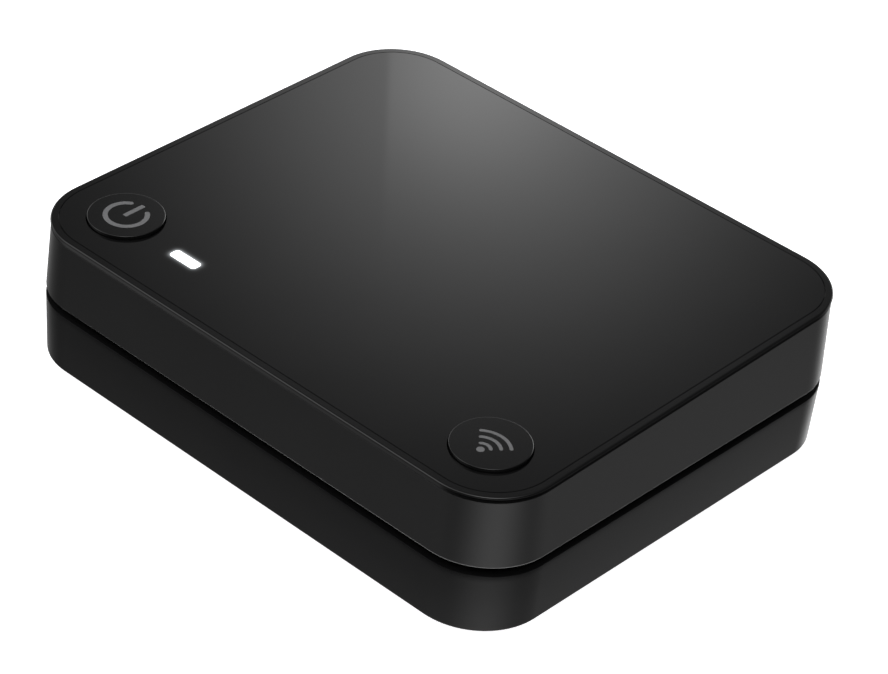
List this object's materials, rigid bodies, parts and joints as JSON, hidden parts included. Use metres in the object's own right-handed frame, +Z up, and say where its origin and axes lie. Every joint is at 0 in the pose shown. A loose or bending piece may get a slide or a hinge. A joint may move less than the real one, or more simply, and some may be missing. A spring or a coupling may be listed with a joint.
{
  "type": "wireless audio receiver",
  "caption": "Two-tier rounded desktop receiver that turns a wireless signal into line audio, with push buttons and a lit status window on top and sockets in a rear panel.",
  "frame": {"origin": "under the middle of the whole footprint, phono sockets included, at the soles of the feet", "axes": "+X to the right along the long side, +Y to the rear panel, +Z up"},
  "size_m": [0.1, 0.0918, 0.0271],
  "materials": {
    "case_plastic": "fine moulded texture, satin",
    "rim_plastic": "smooth moulded, semi-gloss",
    "gloss_black": "polished, faint sheen",
    "button_plastic": "satin moulded",
    "legend_ink": "matt printed ink",
    "window_lens": "milky translucent lens, lit white",
    "switch_plastic": "moulded",
    "led_body": "epoxy over white plastic",
    "board_green": "solder mask",
    "board_blue": "solder mask",
    "zinc_steel": "zinc plated",
    "shield_steel": "tinned sheet",
    "chip_black": "moulded epoxy",
    "connector_cream": "nylon",
    "ribbon_white": "laminated film",
    "copper_gold": "gold flash",
    "capacitor_sleeve": "shrink sleeve",
    "ceramic_tan": "sintered ceramic",
    "socket_black": "moulded",
    "socket_nickel": "bright nickel plate",
    "insulator_white": "moulded",
    "collar_white": "moulded",
    "collar_red": "moulded",
    "foot_rubber": "matt, slightly dusty",
    "label_film": "blank polyester film"
  },
  "bodies": {
    "case": {"lower_case": "case_plastic", "upper_case": "case_plastic", "top_cap": "rim_plastic", "gloss_plate": "gloss_black", "status_window": "window_lens", "switch_bodies": "switch_plastic", "status_led": "led_body", "key_board": "board_green", "key_board_screws": "zinc_steel", "ribbon_connectors": "connector_cream", "ribbon_cable": "ribbon_white", "main_board": "board_green", "main_board_screws": "zinc_steel", "radio_board": "board_blue", "radio_shield": "shield_steel", "radio_antenna": "copper_gold", "converter_chip": "chip_black", "amplifier_chip": "chip_black", "regulator": "chip_black", "crystal": "shield_steel", "capacitors": "capacitor_sleeve", "chip_parts": "ceramic_tan", "rear_panel": "case_plastic", "phono_housing": "socket_black", "phono_sleeves": "socket_nickel", "phono_insulators": "insulator_white", "phono_contacts": "copper_gold", "phono_ring_left": "collar_white", "phono_ring_right": "collar_red", "jack_housing": "socket_black", "usb_shell": "socket_nickel", "usb_tongue": "socket_black", "case_screws": "zinc_steel", "feet": "foot_rubber", "rating_label": "label_film"},
    "power_button": {"power_button": "button_plastic", "power_legend": "legend_ink", "power_plunger": "switch_plastic"},
    "pairing_button": {"pairing_button": "button_plastic", "pairing_legend": "legend_ink", "pairing_plunger": "switch_plastic"}
  },
  "joints": [
    {"name": "power_press", "type": "slide", "parent": "case", "child": "power_button", "axis": [0, 0.0334, -0.9994], "range_m": [0, 0.0004], "stiffness_N_per_m": 1500, "springref_m": -0.0006},
    {"name": "pairing_press", "type": "slide", "parent": "case", "child": "pairing_button", "axis": [0, 0.0334, -0.9994], "range_m": [0, 0.0004], "stiffness_N_per_m": 1500, "springref_m": -0.0006}
  ]
}
